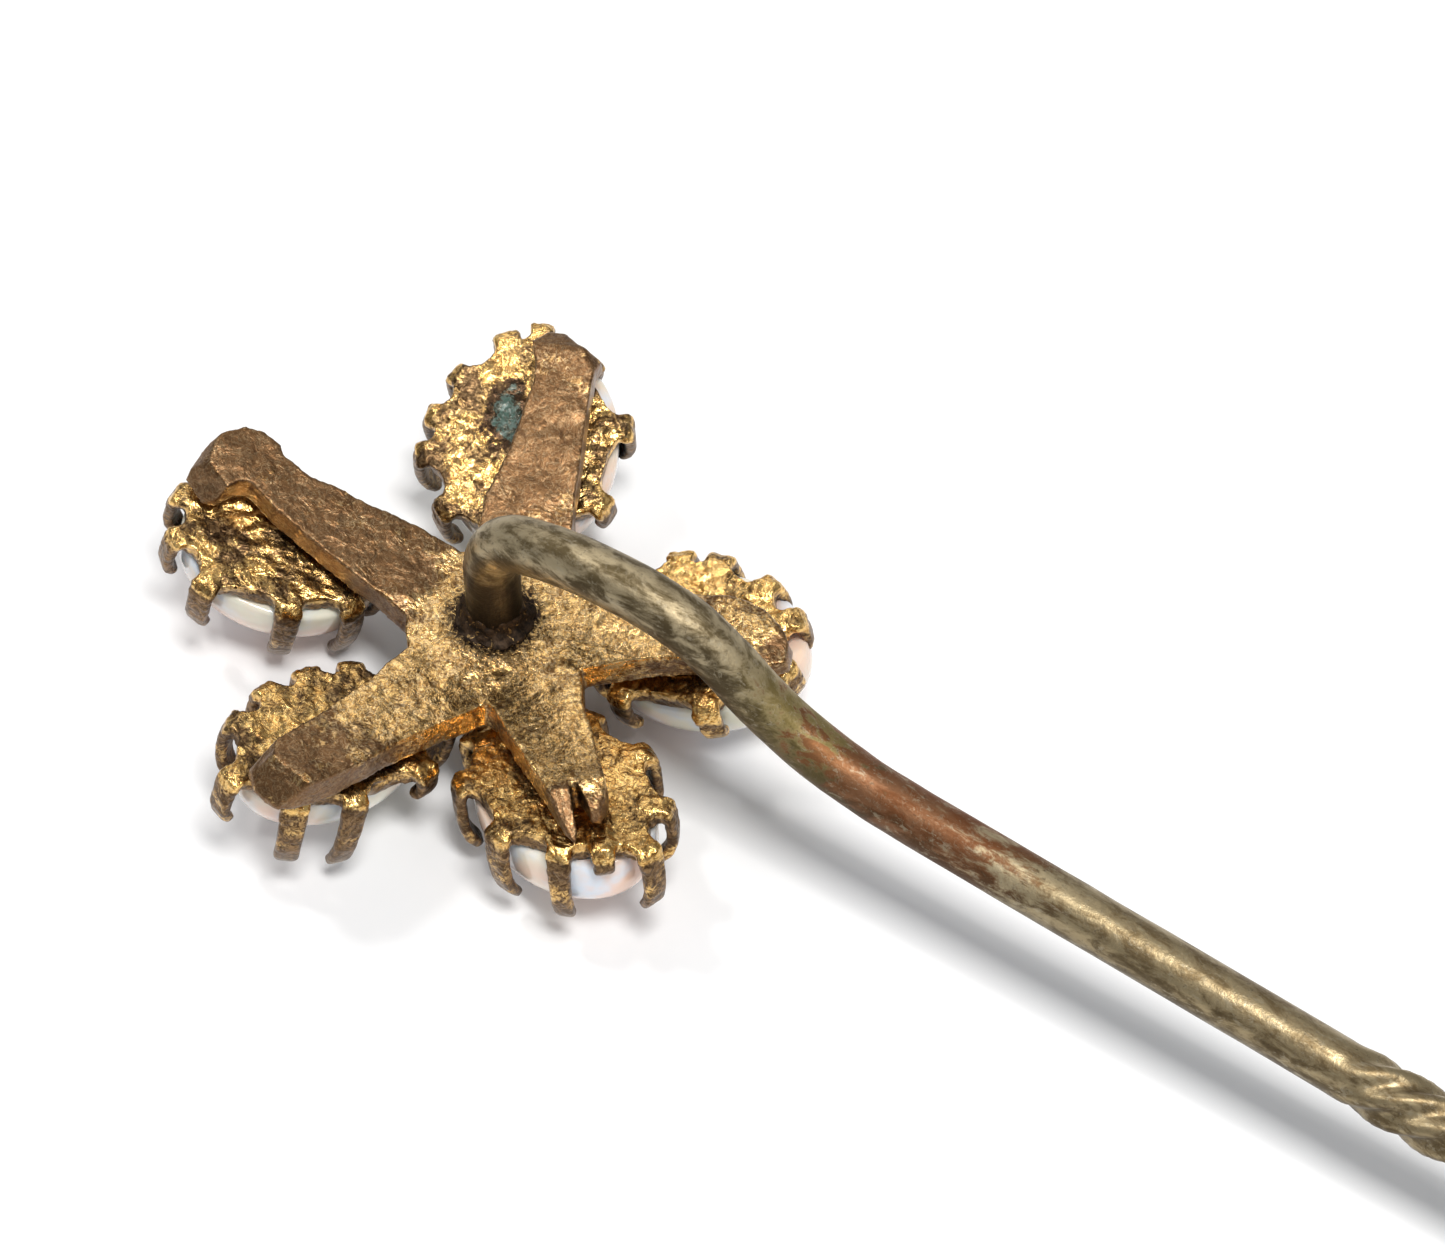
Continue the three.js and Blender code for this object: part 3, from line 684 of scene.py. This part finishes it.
# The wire's centreline in its own plane, as (along, up) from the foot of the post.
wire = {
    "radius": 0.58, "dent": 0.02, "dentSize": 1.3, "sootShadeHeights": (1.3, 3.1), "sootShadeEnd": 2,
    "arch": [(0, -0.4), (0, 0.4), (0, 1.2), (0.05, 2.2), (0.45, 3.0), (1.3, 3.45), (2.5, 3.7), (3.7, 3.75),
             (4.8, 3.55), (5.6, 3.05), (6.5, 2.3), (7.6, 1.65), (8.9, 1.24), (10.2, 1.07)],
    "slope": -0.068, "length": 57, "sides": 30,
    "twistStart": 9.5, "twistLength": 12, "twistPitch": 5.4, "ridges": 5, "ridge": 0.075, "fade": 1.2,
    "taper": 10, "point": 0.08,
}


def wireCentres():  # (centre, distance along the stem or below 0 on the arch)
    knots = [Vector((x, 0, z)) for x, z in wire["arch"]]
    last = knots[-1]
    lead = Vector((1, 0, wire["slope"])).normalized()
    knots = [knots[0] + (knots[0] - knots[1])] + knots + [last + lead]
    centres = []
    for index in range(1, len(knots) - 2):
        before, start, end, after = knots[index - 1:index + 3]
        steps = max(4, round((end - start).length / 0.12))
        for step in range(steps):
            share = step / steps
            centres.append((catmull(before, start, end, after, share), -1))
    distance = 0
    while distance < wire["length"]:
        centres.append((last + lead * distance, distance))
        inTwist = -0.5 < distance - wire["twistStart"] < wire["twistLength"] + 0.5
        nearPoint = wire["length"] - distance < wire["taper"]
        distance += 0.07 if inTwist else 0.25 if nearPoint else 0.6
    centres.append((last + lead * wire["length"], wire["length"]))
    return centres


def catmull(before, start, end, after, share):
    first = 2 * start + (end - before) * share
    second = (2 * before - 5 * start + 4 * end - after) * share ** 2
    third = (3 * start - before - 3 * end + after) * share ** 3
    return (first + second + third) / 2


def wireRadius(distance, angle):
    if distance < 0:
        return wire["radius"]
    taper = min(1, (wire["length"] - distance) / wire["taper"])
    plain = wire["point"] + (wire["radius"] - wire["point"]) * math.sqrt(max(0, taper * (2 - taper)))
    twisted = distance - wire["twistStart"]
    fade = smoothStep(twisted, 0, wire["fade"]) * (1 - smoothStep(twisted, wire["twistLength"] - wire["fade"],
                                                                  wire["twistLength"]))
    wave = math.cos(wire["ridges"] * (angle + 2 * math.pi * twisted / wire["twistPitch"]))
    return plain + fade * wire["ridge"] * (wave if wave > 0 else 1.4 * wave)


def wireSootAndShade(place):  # only the post is darkened: torch black together with painted shade low on the post
    return 1 - smoothStep(place.z, *wire["sootShadeHeights"]) if place.x < wire["sootShadeEnd"] else 0


def buildWire():
    bm = bmesh.new()
    centres = wireCentres()
    side = Vector((0, 1, 0))
    rings = []
    for index, (centre, distance) in enumerate(centres):
        ahead = centres[min(index + 1, len(centres) - 1)][0] - centres[max(index - 1, 0)][0]
        up = ahead.cross(side).normalized()
        ring = []
        for step in range(wire["sides"]):
            angle = 2 * math.pi * step / wire["sides"]
            radius = wireRadius(distance, angle)
            ring.append(centre + side * radius * math.cos(angle) + up * radius * math.sin(angle))
        rings.append(ring)
    sweptBar(bm, rings)
    roughen(bm, wire["dentSize"], wire["dent"], 5.5)
    paint(bm, "along", lambda place: place.x)
    paint(bm, "sootAndShade", wireSootAndShade)
    return addPiece("pinWire", bm, pinMetal, "pin_wire", postFoot)


ringShape = {"steps": [(0.86, -0.02), (0.84, 0.05), (0.74, 0.12), (0.66, 0.24), (0.62, 0.4), (0.6, 0.56)],
             "voxel": 0.04, "lump": 0.1, "lumpSize": 0.35}


def buildSolderRing():
    bm = bmesh.new()
    turns = [2 * math.pi * step / 32 for step in range(32)]
    sweptBar(bm, [[Vector((radius * math.cos(turn), radius * math.sin(turn), height)) for turn in turns]
                  for radius, height in ringShape["steps"]])
    bm = fused(bm, ringShape["voxel"], 3)
    roughen(bm, ringShape["lumpSize"], ringShape["lump"], 1.9)
    return addPiece("solderRing", bm, blackSolder, "post_solder_collar", postFoot)


bossShape = {"radius": 0.82, "centre": -1.95, "neck": 0.4, "neckTop": -0.78, "grain": 0.24, "grainRing": 1.13,
             "grainAngles": (-78, -147, 155, 82, 2), "webInset": 0.12, "webThickness": 0.2,
             "voxel": 0.045, "crinkle": 0.03, "crinkleSize": 0.3, "tarnish": 0.2}


def buildBoss():
    bm = bmesh.new()
    centre = Vector((0, 0, bossShape["centre"]))
    bmesh.ops.create_uvsphere(bm, u_segments=48, v_segments=24, radius=bossShape["radius"],
                              matrix=Matrix.Translation(centre))
    neck = bossShape["neck"]
    neckHigh = bossShape["neckTop"]
    neckLow = bossShape["centre"]
    neckPlace = Matrix.Translation((0, 0, (neckHigh + neckLow) / 2))
    bmesh.ops.create_cone(bm, cap_ends=True, segments=32, radius1=neck, radius2=neck,
                          depth=neckHigh - neckLow, matrix=neckPlace)
    web = bossShape["grainRing"] - bossShape["webInset"]  # the plate that carries the grains
    bmesh.ops.create_cone(bm, cap_ends=True, segments=40, radius1=web, radius2=web,
                          depth=bossShape["webThickness"], matrix=Matrix.Translation(centre))
    for angle in bossShape["grainAngles"]:
        place = swing(angle) @ Vector((bossShape["grainRing"], 0, bossShape["centre"]))
        bmesh.ops.create_uvsphere(bm, u_segments=20, v_segments=12, radius=bossShape["grain"],
                                  matrix=Matrix.Translation(place))
    bm = fused(bm, bossShape["voxel"], 2)
    roughen(bm, bossShape["crinkleSize"], bossShape["crinkle"], 4.2)
    paint(bm, "tarnish", lambda place: bossShape["tarnish"])
    paint(bm, "sootAndShade", lambda place: 0)
    return addPiece("frontBoss", bm, castGilt, "front_boss", hubCentre)


buildStar()
print("star built")
for number in cups:
    buildCup(number)
    buildStone(number)
print("cups and stones built")
buildWire()
buildSolderRing()
buildBoss()
for number in cups:
    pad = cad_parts[f"solder_pad_{number}"]
    pad.material_slots[0].material = blackSolder
print("wire, solder and boss built")


floorShape = {"size": 1500, "gap": 0.01}  # millimetres


def addFloor():
    bm = bmesh.new()
    bmesh.ops.create_grid(bm, x_segments=1, y_segments=1, size=floorShape["size"] * mm)
    bmesh.ops.translate(bm, verts=bm.verts[:], vec=(0, 0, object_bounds()[0].z - floorShape["gap"] * mm))
    mesh = bpy.data.meshes.new("floor")
    bm.to_mesh(mesh)
    bm.free()
    finish = Finish("paper", 0.0, 0.7)
    tint = finish.mix(finish.fade(finish.noise(30), 0.4, 0.6), (0.87, 0.88, 0.9), (0.9, 0.905, 0.92))
    mesh.materials.append(finish.set(Base_Color=tint))
    floor = bpy.data.objects.new("floor", mesh)
    bpy.context.scene.collection.objects.link(floor)


cameraPlace = {"turn": 32.8, "height": 56.8, "distance": 110, "target": (4.05, 2.35, 0), "lens": 133.46}


def addCamera():
    turn, height = math.radians(cameraPlace["turn"]), math.radians(cameraPlace["height"])
    level = math.cos(height)
    forward = Vector((-math.sin(turn) * level, math.cos(turn) * level, -math.sin(height)))
    data = bpy.data.cameras.new("camera")
    data.lens = cameraPlace["lens"]
    data.sensor_width = 36
    data.clip_start = 0.002
    camera = bpy.data.objects.new("camera", data)
    camera.location = (postFoot + Vector(cameraPlace["target"]) - forward * cameraPlace["distance"]) * mm
    camera.rotation_mode = "QUATERNION"
    camera.rotation_quaternion = forward.to_track_quat("-Z", "Y")
    bpy.context.scene.collection.objects.link(camera)
    bpy.context.scene.camera = camera


# Lamps stand round the head: bearing and height in degrees, distance and the two sides in millimetres, watts.
lamps = {
    "keyLamp": {"bearing": -23, "height": 73, "distance": 300, "size": (100, 60), "power": 0.68,
                "colour": (1.0, 0.98, 0.95)},
    "glintLamp": {"bearing": 180, "height": 63, "distance": 300, "size": (26, 26), "power": 0.15,
                  "colour": (1.0, 0.98, 0.94)},
    "backPanel": {"bearing": 126, "height": 40, "distance": 300, "size": (190, 130), "power": 0.13,
                  "colour": (1.0, 0.98, 0.95)},
    "frontLamp": {"bearing": -60, "height": 38, "distance": 300, "size": (160, 120), "power": 0.08,
                  "colour": (0.96, 0.98, 1.0)},
}


def addLamps():
    for name, lamp in lamps.items():
        raised = Matrix.Rotation(math.radians(-lamp["height"]), 4, "Y")
        away = swing(lamp["bearing"]) @ raised @ Vector((1, 0, 0))
        across = away.cross(Vector((1, 0, 0))).normalized()
        data = bpy.data.lights.new(name, "AREA")
        data.shape = "RECTANGLE"
        data.size, data.size_y = (side * mm for side in lamp["size"])
        data.energy = lamp["power"]
        data.color = lamp["colour"]
        light = bpy.data.objects.new(name, data)
        light.location = (hubCentre + away * lamp["distance"]) * mm
        light.rotation_mode = "QUATERNION"
        light.rotation_quaternion = Matrix((across.cross(away), across, away)).transposed().to_quaternion()
        bpy.context.scene.collection.objects.link(light)
    world = bpy.data.worlds.new("studio")
    world.use_nodes = True
    background = world.node_tree.nodes["Background"]
    background.inputs["Color"].default_value = (0.94, 0.97, 1.0, 1)
    background.inputs["Strength"].default_value = 0.33
    bpy.context.scene.world = world
    bpy.context.scene.view_settings.view_transform = "Standard"


addFloor()
addCamera()
addLamps()
print("floor, camera and light set")
